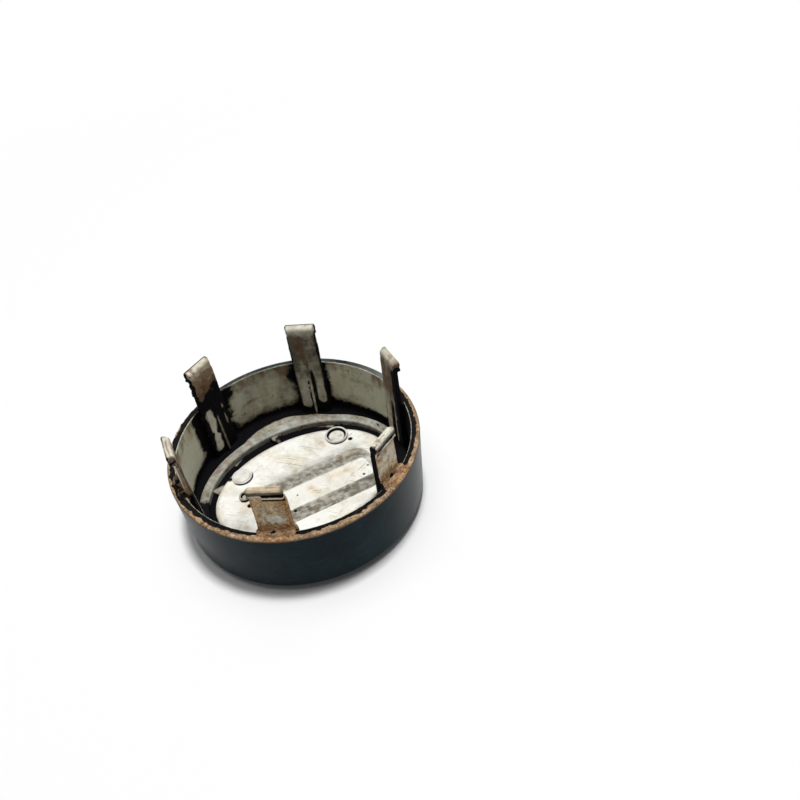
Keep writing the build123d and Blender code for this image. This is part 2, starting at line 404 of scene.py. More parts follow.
# Black grime lies in the corner at the wall's foot, climbs beside the tabs, and is thick on both sides of
# one tab. A paler strip of floor lies behind the oval rib, and the mouth's edge is rubbed bright.
radius = np.broadcast_to(profile[:, :1], rings.shape[:2])
level = rings[..., 2]
degrees = np.broadcast_to(np.degrees(turn), rings.shape[:2])
nearest = np.round(degrees / 60.0)
from_tab = degrees - 60.0 * nearest
tab_number = (nearest % 6).astype(int)
beside_tab = np.clip(np.abs(np.radians(from_tab)) * radius - 3.9, 0, None)
spread_before = np.array((0.9, 0.7, 1.6, 0.9, 0.9, 0.9))[tab_number]
spread_after = np.array((0.8, 0.9, 3.2, 0.9, 0.9, 0.9))[tab_number]
spread = np.where(from_tab < 0, spread_before, spread_after) + 0.5 * lumps(rings, 2.4, 1)
sooty = (nearest == 2) & (from_tab < 0)
soot = 2.4 * ramp(level, 14.5, 18.5) + 1.3 * lumps(rings, 1.6, 47) + 1.0 * lumps(rings, 0.8, 64)
left_soot = (nearest == 1) & (from_tab > 0)
spread += sooty * soot
spread += left_soot * 1.7 * bell(level - 16.0, 2.6)
foot_level = 5.9 + 0.9 * lumps(rings, 6.0, 2) + 2.4 * np.exp(-beside_tab / 1.6)
above_foot = np.clip(level - foot_level, 0, None)
wall_grime = np.maximum(0.5 + 0.3 * (foot_level - level), 0.5 + 0.28 * (spread - beside_tab))
black_panel = ramp(degrees, 300.0, 306.0) * (0.8 + 0.25 * lumps(rings, 2.5, 29))
on_floor = level < 4.6
black_floor = 1.1 * ramp(radius, 17.0, 19.0) * on_floor
grime = np.maximum(np.maximum(wall_grime, black_panel), black_floor)
flecked = ramp(degrees, 308.0, 316.0) * fall(degrees, 346.0, 352.0)
flecked = flecked * np.clip(0.4 + 1.3 * lumps(rings, 0.7, 50), 0, 1)
bright_edge = bell(past_mouth - 0.08, 0.15) * np.clip(0.75 + 0.5 * lumps(rings, 0.9, 49), 0.2, 1)
bright_edge = np.maximum(bright_edge, flecked * bell(past_mouth - 0.2, 0.35))
bright_edge = bright_edge * np.interp(degrees, (58, 66, 116, 126), (1.0, 0.6, 0.6, 1.0))
pale_turns = (46, 60, 70, 80, 96, 112, 130)
pale_limit = np.interp(degrees, pale_turns, (26.2, 26.4, 26.5, 26.8, 26.4, 25.2, 24.6))
pale_limit += 0.15 * lumps(rings, 1.5, 85)
pale_floor = fall(radius, pale_limit - 0.3, pale_limit + 0.3) * ramp(radius, 20.0, 22.0) * on_floor
pale_floor = pale_floor * (past_mouth > 0) * (degrees > pale_turns[0]) * (degrees < pale_turns[-1])
grime = grime * (1 - 0.9 * pale_floor)
grime = np.clip(np.where(inside, grime, 0.0), 0, 1.2) * (1 - bright_edge)
smudge = spot(degrees - 97.0, 6.0, level - 11.8 + 0.05 * (degrees - 97.0), 0.9)
top_streaks = ramp(level, 13.5, 18.5) * (0.26 + 0.5 * lumps(rings * (1, 1, 0.3), 1.6, 3))
top_streaks = top_streaks * np.where(degrees > 122, 0.75, 1.0)
brown = 0.2 + 0.16 * lumps(rings, 6.0, 4) + 0.2 * lumps(rings * (1, 1, 0.5), 2.2, 51)
brown += top_streaks + 0.55 * smudge + 0.25 * np.exp(-above_foot / 1.3)
brown = np.where(inside, brown, 0.0) * (1 - bright_edge)
paint = np.clip(0.5 - 1.3 * past_mouth, 0, 1)
rim_amount = np.interp(degrees, (0, 6, 12, 124, 130, 180, 360), (0.9, 0.7, 0.42, 0.42, 0.7, 0.9, 0.9))
dust = np.where(past_mouth < 0, rim_amount * 0.8 * ramp(level, 19.0, 19.8), 0.0)
dust += 0.18 * fall(level, 2.0, 5.0) * (past_mouth < 0)
# Painted sheen: the paint is lightened where the wall is seen edge-on at its two sides, and in patches on the
# far rim's top.
painted_sheen = 0.5 * ramp(degrees, 282.0, 342.0) + 0.5 * fall(degrees, 12.0, 40.0)
painted_sheen += 0.26 * ramp(degrees, 120.0, 150.0) * fall(degrees, 160.0, 222.0)
painted_sheen = painted_sheen * ramp(radius, 28.0, 30.6)
far_rim = ramp(level, 19.2, 19.8) * np.interp(degrees, (8, 16, 118, 126), (0, 1, 1, 0))
painted_sheen += far_rim * np.clip(0.1 + 0.14 * lumps(rings, 1.6, 65), 0, 1)
# Painted shade: the veil darkens the wall towards the tabs, its foot and its top, and lightens or darkens
# whole panels by their turn.
veil = 0.45 * np.exp(-np.clip(beside_tab - spread, 0, None) / 1.4) + 0.45 * np.exp(-above_foot / 1.6)
veil += 0.25 * ramp(level, 14.0, 20.0) + 0.14 * lumps(rings, 0.8, 48)
veil += 0.22 * lumps(rings * (1, 1, 0.4), 2.2, 28)
veil += np.interp(degrees, (10, 50, 60, 120, 125, 180), (-0.25, -0.25, 0.36, 0.3, -0.6, -0.6))
veil = np.where(inside, veil * (1 - pale_floor) + 0.62 * pale_floor, 0.0) * (1 - bright_edge)


def dirt_masks(grime, brown, soil=0.0, warm=0.0, veil=0.0):
    """The dirt and painted shade of one piece, under the names that its material reads."""
    named = {"grime": grime, "brown": brown, "soil": soil, "warm": warm, "veil": veil}
    return {name: np.atleast_1d(np.asarray(value, float)) for name, value in named.items()}


cup_masks = {**dirt_masks(grime, brown, veil=veil), "paint": paint, "dust": dust, "painted_sheen": painted_sheen}
skin("moulded_cup", rings, cup_masks, cup_paint)

# The oval rib on the floor, moulded with the cup: a low wall with a rounded top, whose ends run under two of
# the tabs. Its top is a worn grey and its inner side is a paler grey, as painted light; its ends are greasy,
# and grime lies on its outer side.
rib_long = 28.2
rib_short = 23.0
rib_width = 2.6
rib_top = floor_edge_height + 1.3
rib_foot = 2.2
rib_round = 0.8


def outline(half_long, half_wide, corner, per_long, per_wide, per_corner=4):
    """A rounded rectangle as a closed loop: corner centres stretched to the half sizes, plus a corner radius
    along each point's outward direction. Half sizes and corner may be columns, for one loop in each row."""
    a = np.linspace(0, np.pi / 2, per_corner + 2)[1:-1]
    ends = np.linspace(-1, 1, per_long)
    sides = np.linspace(-1, 1, per_wide)
    long, wide, bend = np.ones(per_long), np.ones(per_wide), np.ones(per_corner)
    along = np.concatenate([-wide, -bend, ends, bend, wide, bend, -ends, -bend])
    across = np.concatenate([sides, bend, long, bend, -sides, -bend, -long, -bend])
    sine, cosine = np.sin(a), np.cos(a)
    out_along = np.concatenate([-wide, -cosine, 0 * ends, sine, wide, cosine, 0 * ends, -sine])
    out_across = np.concatenate([0 * sides, sine, long, cosine, 0 * sides, -sine, -long, -cosine])
    x = along * (half_long - corner) + out_along * corner
    y = across * (half_wide - corner) + out_across * corner
    return x, y, out_along, out_across


bare_rib = plastic_material("rib_plastic", srgb(204, 206, 198))
half_height = (rib_top - rib_foot) / 2
offset, rise, inward, _ = outline(rib_width / 2, half_height, rib_round, 12, 18)
offset = offset + rib_width / 2
turn = np.linspace(0, 2 * np.pi, 420, endpoint=False)[:, None]
degrees = np.degrees(turn)
rings = around(rib_long - offset, rib_short - offset, turn, rise + rib_foot + half_height)
rings[..., 2] += 0.04 * lumps(rings, 1.6, 3)
depth = rib_top - rings[..., 2]
grime_start = np.where(inward > 0.5, 2.3, 0.75) + 0.35 * lumps(rings, 2.2, 5)
greasy_turns = (0, 3, 6, 158, 166, 200, 215, 285, 298, 360)
greasy_end = np.interp(degrees, greasy_turns, (1.0, 1.0, 0.0, 0.0, 1.0, 1.0, 0.45, 0.45, 1.0, 1.0))
flecks = ramp(lumps(rings, 0.5, 77) + 0.5 * lumps(rings, 1.0, 78), 0.7, 1.0)
grime = np.clip(0.5 + 0.7 * (depth - grime_start), 0, 1.1) + 0.95 * greasy_end + 0.5 * flecks
brown = 0.26 + 0.3 * lumps(rings, 2.6, 6) + 0.2 * lumps(rings, 0.8, 67)
# The inner side gets less veil, so it is paler, as painted light.
veil = 0.6 + 0.25 * lumps(rings, 3.5, 38) + 0.2 * lumps(rings, 0.9, 66) - 0.5 * ramp(inward, 0.2, 0.9)
veil += 0.3 * ramp(degrees, 140.0, 158.0)
skin("oval_rib", rings, dirt_masks(grime, brown, veil=veil), bare_rib, loop=True)

# The oval plateau inside the rib: the thick middle of the face, flat on top with a rounded edge and two small
# sink pits. It is nearly clean, with brown stains by its posts and its edge, and painted shadows beside the
# posts on the side towards the camera.
plateau_long = 24.2
plateau_short = 17.2
plateau_top = floor_edge_height + 0.3
plateau_round = 0.6
pits = np.array(((16.75, 7.7), (-15.4, 0.1)))
pit_radius = np.array((0.6, 0.7))
pit_depth = 0.6
post_places = np.array(((13.9, 10.6), (-13.9, 10.6), (-15.6, 3.4)))
post_radii = np.array((3.15, 2.7, 1.5))
bare_plateau = plastic_material("plateau_plastic", srgb(247, 247, 240))
a = np.linspace(0, np.pi / 2, 7)
inset = np.concatenate([[0.0, 0.0, 0.0], plateau_round * (1 - np.cos(a)), np.linspace(0.8, 16.2, 78)])
rise = np.full(len(inset), plateau_top)
rise[:10] = np.concatenate([[1.7, 2.3, 2.9], plateau_top - plateau_round * (1 - np.sin(a))])
turn = np.linspace(0, 2 * np.pi, 480, endpoint=False)
rings = around((plateau_long - inset)[:, None], (plateau_short - inset)[:, None], turn, rise[:, None])
x, y = rings[..., 0], rings[..., 1]
to_pit = np.linalg.norm(rings[..., None, :2] - pits, axis=-1) / pit_radius
pit = fall(to_pit, 0.75, 1.2).max(axis=-1)
grime = np.maximum(0.5 + 1.1 * (plateau_top - 0.5 + 0.2 * lumps(rings, 1.5, 7) - rings[..., 2]), 1.2 * pit)
stained = spot(x - 9.2, 1.5, y - 11.2, 2.8)
stained += 0.8 * spot(x + 14.2, 2.2, y - 12.6, 1.5)
edge_stain = fall(inset, 0.4, 1.3)[:, None]
by_pad = bell(y - 4.4, 1.6) * ramp(x, -12.0, -6.0) * fall(x, 15.0, 19.0)
# Painted shadows: dark crescents beside the posts, on the side towards the camera.
to_post = rings[..., None, :2] - post_places
post_gap = np.linalg.norm(to_post, axis=-1) - post_radii
shaded_side_of_post = np.clip(np.cos(np.arctan2(to_post[..., 1], to_post[..., 0]) + np.radians(75)), 0, 1) ** 0.5
painted_foot_shadow = (bell(post_gap - 0.1, 0.22) * shaded_side_of_post * np.array((0.35, 1.0, 1.0))).max(axis=-1)
edge_lump = spot(x + 16.9, 0.9, y - 11.5, 0.7)
grime = np.maximum(grime, np.maximum(0.95 * painted_foot_shadow, 0.9 * edge_lump))
left_end = fall(x, -19.0, -12.0) * fall(y, -6.0, 2.0)
brown = 0.03 + 0.42 * stained + 0.13 * lumps(rings, 5.0, 8) + 0.15 * edge_stain
brown += 0.26 * left_end + 0.4 * edge_lump
veil = 0.03 + 0.22 * stained + 0.36 * by_pad + 0.3 * edge_stain + 0.3 * painted_foot_shadow + 0.36 * left_end
veil += 0.07 * lumps(rings, 4.0, 39) + 0.07 * lumps(rings, 1.4, 68) + 0.1 * ramp(x, 2.0, 20.0)
rings[..., 2] -= pit_depth * pit
skin("plateau", rings, dirt_masks(grime, brown, warm=0.3 * stained, veil=veil), bare_plateau)

# The raised pad on the plateau: a low bar with a broad and a narrow flank, with a flat top that slopes off to
# both ends. Its flanks hold a grey-brown film that is partly painted shade, and its flat top has tan stains
# and a few dark pits.
pad_low, pad_high = np.array((-14.5, -11.5)), np.array((19.0, 4.3))
pad_top_low, pad_top_high = np.array((-11.0, -7.9)), np.array((16.6, -1.5))
pad_corner, pad_top_corner = 5.2, 1.2
pad_top = plateau_top + 0.9
dark_spots = np.array(((-6.1, -8.6), (14.0, -7.0), (-3.7, -4.2), (16.3, -4.7)))
dark_spot_sizes = np.array((0.34, 0.3, 0.22, 0.26))
bare_pad = plastic_material("pad_plastic", srgb(245, 244, 236))
up = np.concatenate([[0.0, 0.0], np.linspace(0, 1, 26), np.ones(18)])
shrink = np.concatenate([np.zeros(28), np.linspace(0.1, 1.0, 18) * 2.9])
foot_rise = [plateau_top - 0.5, plateau_top - 0.02]
rise = np.concatenate([foot_rise, np.linspace(plateau_top, pad_top, 26), np.full(18, pad_top)])
low = pad_low + up[:, None] * (pad_top_low - pad_low)
high = pad_high + up[:, None] * (pad_top_high - pad_high)
half = (high - low) / 2 - shrink[:, None]
middle = (high + low) / 2
corner = np.clip(pad_corner + up * (pad_top_corner - pad_corner) - shrink, 0.1, None)[:, None]
x, y, to_end, to_side = outline(half[:, :1], half[:, 1:], corner, 110, 36, 8)
rings = np.stack([x + middle[:, :1], y + middle[:, 1:], np.broadcast_to(rise[:, None], x.shape)], axis=-1)
rings[..., 2] += 0.02 * lumps(rings, 2.0, 9)
x, y = rings[..., 0], rings[..., 1]
# The flanks' film and veil are partly painted shade.
on_flank = fall(up[:, None], 0.93, 1.0)
broad_film_and_shade = np.interp(up, (0, 0.12, 0.5, 0.9, 1), (0.4, 0.72, 1.1, 0.85, 0.5))[:, None]
broad = on_flank * np.clip(to_side, 0, 1) * broad_film_and_shade
narrow = on_flank * np.clip(-to_side, 0, 1) * (0.95 + 0.3 * lumps(rings, 2.6, 10))
ends = on_flank * np.clip(to_end, 0, 1) * 0.35
tan_mark = spot(x - 0.2, 1.1, y + 4.4, 1.2)
tan_mark += 0.5 * spot(x - 9.0, 4.0, y + 3.2, 0.9)
to_spot = np.linalg.norm(rings[..., None, :2] - dark_spots, axis=-1)
spots = bell(to_spot, dark_spot_sizes).max(axis=-1)
along_pad = rings * (0.3, 1, 1)
patchy = 0.5 * lumps(rings, 1.6, 40) + 0.6 * lumps(along_pad, 0.7, 52) + 0.6 * lumps(along_pad, 0.35, 82)
grime = 0.2 * narrow * (1 + patchy) + 1.3 * spots
brown = 0.08 + 0.16 * lumps(rings, 2.2, 11) + 0.3 * tan_mark + 0.16 * broad + (0.12 + 0.16 * patchy) * narrow
veil = 0.72 * broad + (0.76 + 0.24 * patchy) * narrow + ends + 0.06 + 0.06 * lumps(rings, 1.2, 69)
rings[..., 2] -= 0.2 * spots
skin("raised_pad", rings, dirt_masks(grime, brown, warm=0.9 * tan_mark, veil=veil), bare_pad)

# Round posts that stand on the plateau: a ring post with a sunk middle, a flat button and a small ring post.
# Painted shade with grime darkens their sides towards the camera and the feet of their wells.
bare_post = plastic_material("post_plastic", srgb(232, 230, 222))


def turned(name, centre, profile, well_radius, seed, base_veil):
    """A round post: a profile of radius and height, from its sunk foot to its middle, turned about its own
    axis. A dark ring at the foot of its well and a darkening along its side towards the camera are painted
    shade with grime."""
    angle = np.linspace(0, 2 * np.pi, 72, endpoint=False)
    r, z = profile.T[..., None]
    rings = around(r, r, angle, z) + (*centre, 0)
    steps = np.arange(len(r))[:, None]
    # Painted shade with grime darkens the side towards the camera and a ring at the foot of the well.
    side = (steps < 8) * fall(z, plateau_top + 0.1, plateau_top + 0.5)
    facing = np.clip(np.cos(angle + np.radians(70)), 0, 1) ** 0.5
    well = bell(r - well_radius, 0.3) * (steps > 17)
    grime = side * facing + 1.2 * well + 0.1 * lumps(rings, 0.8, seed)
    veil = base_veil + 0.3 * lumps(rings, 1.2, seed + 1) + 0.3 * (steps < 10)
    skin(name, rings, dirt_masks(grime, 0.2 + 0.2 * lumps(rings, 1.5, seed + 2), veil=veil), bare_post)


def post_profile(radius, wall, top, well):
    """Foot, outer side, rounded lip, inner side and sunk middle of a ring post; a button's is hardly sunk."""
    lip = min(wall * 0.45, 0.25)
    a = np.linspace(0, np.pi / 2, 5)
    side = np.stack([np.full(8, radius), np.linspace(plateau_top - 0.4, top - lip, 8)], axis=-1)
    outer = np.stack([radius - lip * (1 - np.cos(a)), top - lip * (1 - np.sin(a))], axis=-1)
    inner_radius = radius - wall
    inner = np.stack([inner_radius + lip * (1 - np.sin(a)), top - lip * (1 - np.cos(a))], axis=-1)
    drop = np.stack([np.full(4, inner_radius), np.linspace(top - lip, top - well + 0.1, 5)[1:]], axis=-1)
    base = np.stack([np.linspace(inner_radius - 0.1, 0.15, 14), np.full(14, top - well)], axis=-1)
    return np.concatenate([side, outer, inner, drop, base])


# For each post: its wall, height and well, the radius of the dark ring in the well, painted shade with grime,
# a seed and its veil. The button has no well, so it has no ring.
posts = {
    "ring_post": (0.5, 0.8, 0.75, 2.45, 12, 0.22),
    "flat_button": (0.55, 0.45, 0.02, -9.0, 50, 0.12),
    "small_post": (0.45, 0.8, 0.7, 0.95, 53, 0.7),
}
for (name, (wall, height, well, *look)), place, radius in zip(posts.items(), post_places, post_radii):
    turned(name, place, post_profile(radius, wall, plateau_top + height, well), *look)

# Two small triangular webs that tie the plateau to the rib across the groove, eased on top. One is broad at
# the plateau and the other at the rib, and the second is black with grime.
web_width = 3.8
web_top = plateau_top - 0.2
web_overlap = 0.5


def web(name, turn_degrees, broad_inside, extra_grime):
    """A triangular prism across the groove, with corners on the plateau's edge and the rib's inner side."""
    angle = np.radians(turn_degrees)
    direction = np.array((np.cos(angle), np.sin(angle)))
    side = np.array((-direction[1], direction[0])) * web_width / 2
    near = 1 / np.hypot(*(direction / (plateau_long, plateau_short))) - web_overlap
    far = 1 / np.hypot(*(direction / (rib_long - rib_width, rib_short - rib_width))) + web_overlap
    broad, point = (near, far) if broad_inside else (far, near)
    tips = np.array([broad * direction - side, broad * direction + side, point * direction])
    t = np.linspace(0, 1, 12, endpoint=False)[:, None]
    loop = np.concatenate([(1 - t) * tips[k] + t * tips[(k + 1) % 3] for k in range(3)])
    shrink = np.array((0.0, 0.0, 0.0, 0.05, 0.15, 0.3, 0.6, 0.9))[:, None, None]
    rise = np.array((1.7, 2.8, web_top - 0.2, web_top - 0.06, *[web_top] * 4))[:, None, None]
    flat = loop + shrink * (loop.mean(axis=0) - loop)
    rings = np.concatenate([flat, np.broadcast_to(rise, (len(rise), len(loop), 1))], axis=-1)
    grime = 0.9 * fall(rings[..., 2], web_top - 0.8, web_top - 0.1) + 0.4 * lumps(rings, 0.8, 15)
    brown = 0.3 + 0.3 * lumps(rings, 1.3, 16)
    skin(name, rings, dirt_masks(grime + extra_grime, brown, veil=0.6), bare_rib)


web("plateau_web", 155.0, True, 0.1)
web("rib_web", 92.0, False, 0.48)

# The snap tabs: six thin fingers with a hooked crest, joined to the wall below the rim and each stiffened by
# a thin gusset on its inner side. Grease and road soil differ from tab to tab, so each has its own amounts.
_, cap_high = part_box("centre_cap")
crest = cap_high.z / mm
head_level = crest - 2.75
tab_foot = 2.9
tab_middle = 28.0
root_front, neck_front = 27.15, 27.4
join_back, tab_back = 29.55, 28.55
groove_back, lip_reach, hook_reach = 28.9, 29.33, 29.35
root_half, neck_half, head_half = 4.1, 3.875, 4.15
gusset_top = rim_height + 4.0
gusset_foot_front = 26.25
gusset_half = 0.35
heights = np.concatenate([
    np.linspace(tab_foot, rim_height - 0.75, 62),
    np.linspace(rim_height - 0.68, rim_height - 0.4, 5),
    np.linspace(rim_height - 0.15, head_level, 42),
    np.linspace(head_level + 0.06, crest - 1.1, 34),
    crest - 1.05 * np.cos(np.linspace(0, np.pi / 2 * 0.992, 36)),
])


def arched(value, start, end):
    """Rise of a quarter of an ellipse: flat at the start, upright at the end, from 0 to 1."""
    t = np.clip((value - start) / (end - start), 0, 1)
    return 1 - np.sqrt(1 - t * t)


front = np.interp(heights, [tab_foot, head_level], [root_front, neck_front])
front += 0.65 * arched(heights, crest - 1.2, crest - 0.25)
front += np.interp(heights, [crest - 0.25, crest], [0.0, 0.95])
back_points = (
    (tab_foot, join_back), (rim_height - 0.7, join_back), (rim_height - 0.5, tab_back),
    (crest - 2.85, tab_back), (crest - 2.66, 29.22), (crest - 2.58, lip_reach), (crest - 2.06, lip_reach),
    (crest - 1.95, groove_back), (crest - 1.55, groove_back), (crest - 1.42, 29.26),
    (crest - 0.9, hook_reach),
)
back = np.interp(heights, *np.transpose(back_points)) - 0.3 * arched(heights, crest - 0.7, crest)
width_levels = [tab_foot, head_level, head_level + 0.2, crest - 1.0]
half_width = np.interp(heights, width_levels, [root_half, neck_half, head_half - 0.03, head_half])
half_width = half_width - 0.5 * arched(heights, crest - 0.8, crest)
tab_round = np.minimum(0.26 + 0.3 * ramp(heights, head_level, head_level + 0.6), 0.45 * (back - front))
gusset_heights = np.linspace(tab_foot, gusset_top, 76)
gusset_front = np.interp(gusset_heights, [tab_foot, gusset_top], [gusset_foot_front, neck_front])

tab_plastic = plastic_material("tab_plastic", srgb(236, 234, 219))

# For each tab: grime, brown and veil of the inner face; grime and soil of the clockwise side, of the other
# side and of the outer face; the warm tint of the crest; how far the worn tab leans in at its crest.
tab_dirt = (
    (0.14, 0.45, 0.75, 1.20, 0.00, 0.60, 0.10, 0.30, 0.35, 0.08, 0.0),
    (0.14, 0.08, 0.95, 0.85, 0.00, 0.55, 0.00, 0.30, 0.35, 0.05, 0.0),
    (0.05, 0.10, 0.30, 0.60, 0.00, 0.95, 0.00, 0.30, 0.35, 0.28, 0.0),
    (0.28, 0.55, 0.45, 0.40, 0.30, 0.28, 0.45, 0.10, 0.60, 0.14, 0.0),
    (0.25, 0.40, 0.40, 0.40, 0.50, 0.20, 0.80, 0.08, 0.70, 0.55, 0.8),
    (0.25, 0.40, 0.40, 1.20, 0.00, 0.40, 0.50, 0.05, 0.66, 0.05, 0.4),
)
tab_twist = (0.0, 0.0, 0.0, 5.0, 0.0, 0.0)
hook_shades = (1.0, 1.0, 1.0, 0.3, 1.0, 0.7)
crest_stripes = (0.0, 0.0, 0.0, 0.45, 0.5, 0.15)


def standing(x, y, z, degrees):
    """Points of a tab drawn on the +X side, turned about the cap's axis to their own place."""
    angle = np.radians(degrees)
    turned_x = x * np.cos(angle) - y * np.sin(angle)
    turned_y = x * np.sin(angle) + y * np.cos(angle)
    return np.stack(np.broadcast_arrays(turned_x, turned_y, z), axis=-1)


for number, amounts in enumerate(tab_dirt):
    degrees = 60.0 * number
    inner_grime, inner_brown, inner_veil, before_grime, before_soil, after_grime, after_soil = amounts[:7]
    outer_grime, outer_soil, warm, lean = amounts[7:]
    z = heights[:, None]
    half_depth = (back - front)[:, None] / 2
    x, y, out, sideways = outline(half_depth, half_width[:, None], tab_round[:, None], 11, 48)
    x = x + front[:, None] + half_depth
    head = ramp(z, head_level - 0.15, head_level + 0.1)
    y = y * (1 - 0.085 * head * fall(x, 27.9, 28.7))
    inward, outward = np.clip(-out, 0, 1), np.clip(out, 0, 1)
    before, after = np.clip(-sideways, 0, 1), np.clip(sideways, 0, 1)
    both_sides = before + after
    worn_lip = np.zeros_like(y)
    if number > 3:
        # The hook's lower lip is worn away at one end.
        worn_lip = fall(y, -1.3, -0.5) if number == 4 else fall(y, -3.4, -2.4)
        lip = np.clip(back - tab_back, 0, None)[:, None] * ((z > head_level - 0.3) & (z < crest - 1.95))
        x = x - outward * lip * worn_lip
    if number == 4:
        # Caked soil has thickened the stem on both sides.
        y = y + after * (0.4 * fall(z, 29.0, 31.0) + 0.7 * fall(z, rim_height, rim_height + 2.5))
        y = y + 0.3 * before * bell(z - 24.0, 3.0)
    above_rim = np.clip((z - rim_height) / (crest - rim_height), 0, 1)
    leaning = lean * above_rim**1.4
    rings = standing(x - leaning, y, z, degrees)

    # Dirt and painted shade of the inner face: grime at the foot and along the edges, grime with painted
    # shade beside the gusset, and a veil of dust and painted shade that darkens it upwards and towards its
    # edges.
    top_face = ramp(z, crest - 2.3 - 1.3 * inward, crest - 0.8)
    near_edge = ramp(np.abs(y), half_width[:, None] - 0.8, half_width[:, None] - 0.1)
    strip_end = 5.3 + 0.45 * (np.abs(y) - 2.3) ** 2 + 1.7 * (y < 0) * (number == 1)
    low = fall(z + 0.5 * lumps(rings, 1.2, 45) - strip_end, -0.9, 0.9)
    dotted = np.clip(0.5 + 0.9 * lumps(rings, 0.8, 53) + 0.7 * fall(z, 8.0, 14.0), 0, 1)
    grime_and_shade_by_gusset = np.where(y < 0, bell(y + 0.85, 0.48), 1.2 * dotted * bell(y - 0.58, 0.3))
    grime_and_shade_by_gusset = grime_and_shade_by_gusset * fall(z + 0.8 * y, 15.5, 20.5)
    edge_grime = near_edge * np.where(y < 0, before_grime, after_grime)
    face_grime_and_shade = inner_grime + 0.42 * edge_grime + 0.8 * low + 0.8 * grime_and_shade_by_gusset
    face_grime_and_shade += 0.4 * near_edge * fall(z, 8.0, 15.0)
    face_brown = inner_brown + 0.2 * ramp(z, 20, 24)
    face_veil = inner_veil * (ramp(z, 14.0, 24.0) + 0.35 * near_edge)
    face_veil += 0.2 * lumps(rings * (1, 1, 0.25), 0.9, 54)
    if number == 0:
        # Black grease runs round from one side on to the inner face; pale and reddish streaks lie beside it.
        pale_streak = spot(y - 3.3, 0.4, z - 17.0, 6.0)
        grease_edge = fall(y + 0.4 * lumps(rings, 1.2, 55), -2.6, -1.7)
        face_grime_and_shade += 0.9 * grease_edge * fall(z, 30.2, 31.6)
        face_brown = face_brown + 0.5 * spot(y - 2.3, 0.5, z - 26.0, 3.0) - 0.4 * pale_streak
        face_veil = face_veil - 0.5 * pale_streak - 0.4 * spot(y - 0.2, 0.4, z - 16.0, 5.0)
    if number == 1:
        # A red-brown stain below the crest, a dark film towards one edge, and paler strips beside the gusset.
        face_grime_and_shade += 0.06 * ramp(y, 1.0, 3.2) * ramp(z, 18.0, 23.0) + 0.1 * ramp(z, 21.0, 25.0)
        face_brown = face_brown + 0.8 * spot(y - 0.9, 0.9, z - 27.6, 3.6)
        face_brown = face_brown + 0.4 * spot(y - 1.8, 1.2, z - 18.6, 1.8)
        face_veil = face_veil - 0.12 * fall(y, -2.5, 0.5) * ramp(z, 19.0, 24.0)
        face_veil += 0.42 * fall(z, 17.0, 21.0) + 0.5 * ramp(y, 1.4, 3.6) * ramp(z, 17.0, 21.0)
    if number == 2:
        # Black grease covers the lower face but for a wide pale window and a narrow broken one; tan above.
        clear = ramp(z, 20.0, 23.0)
        grease_top = 24.2 - 0.35 * y + 1.2 * lumps(rings, 1.8, 56)
        pinch = 1.2 - 0.6 * bell(z - 11.6, 0.9) + 0.25 * lumps(rings, 1.2, 41)
        window = bell(y - 2.0, 1.1 * pinch) * fall(z, 18.8, 20.8) * ramp(z, 4.5, 6.0)
        broken = bell(y + 2.6, 0.7) * fall(z, 19.0, 21.0) * ramp(z, 7.0, 9.0)
        broken = broken * np.clip(0.55 + 0.9 * lumps(rings, 2.2, 57), 0, 1)
        dark_edge = ramp(y + 0.35 * lumps(rings, 0.8, 70), 3.1, 3.8) * fall(z, crest - 2.0, crest - 1.0)
        pale_side = fall(y + 0.6 * lumps(rings, 1.2, 71), -3.4, -1.8)
        face_grime_and_shade = 1.0 - 0.85 * ramp(z, grease_top - 1.6, grease_top + 2.4) - 1.1 * window - 0.75 * broken
        face_grime_and_shade += 0.75 * dark_edge * clear
        face_brown = 0.85 * ramp(z, 20.0, 22.0) - 0.5 * pale_side + 0.55 * broken
        face_brown = face_brown + 0.35 * lumps(rings, 1.1, 80) * clear
        face_veil = 0.5 * ramp(z, 20.0, 24.0) * fall(z, 26.0, 30.0) + 0.3 * lumps(rings, 1.0, 58) * clear
        face_veil += 0.35 * lumps(rings * (1, 1, 0.6), 0.7, 81) * ramp(z, 22.0, 25.0)
        face_veil += 0.3 * pale_side * clear + 0.5 * bell(z - grease_top - 1.5, 1.6)

    # Dirt and painted shade of the whole tab: grime with painted shade in the hook's groove, painted shade on
    # the bead's lower half, a painted shadow under the hook, soil outside, a paler crest.
    stem = 1 - head
    groove_grime_and_shade = bell(z - crest + 1.74, 0.32) * outward * (1 - 0.5 * worn_lip)
    bead_shade = ramp(z, crest - 1.7, crest - 1.35) * fall(z, crest - 0.8, crest - 0.3) * outward
    painted_shadow_under_hook = bell(z - crest + 3.5, 0.35) * outward * (1 - worn_lip)
    hook_grime_and_shade = hook_shades[number] * (1.1 * groove_grime_and_shade + 0.36 * bead_shade + 0.9 * painted_shadow_under_hook)
    grime = inward * face_grime_and_shade * (1 - top_face) + before * before_grime + after * after_grime
    grime += outward * outer_grime + 0.16 * lumps(rings, 3.0, 20)
    grime = grime * (1 - 0.7 * top_face) + hook_grime_and_shade
    grime += 0.8 * both_sides * fall(z, rim_height - 1.0, rim_height + 0.8)
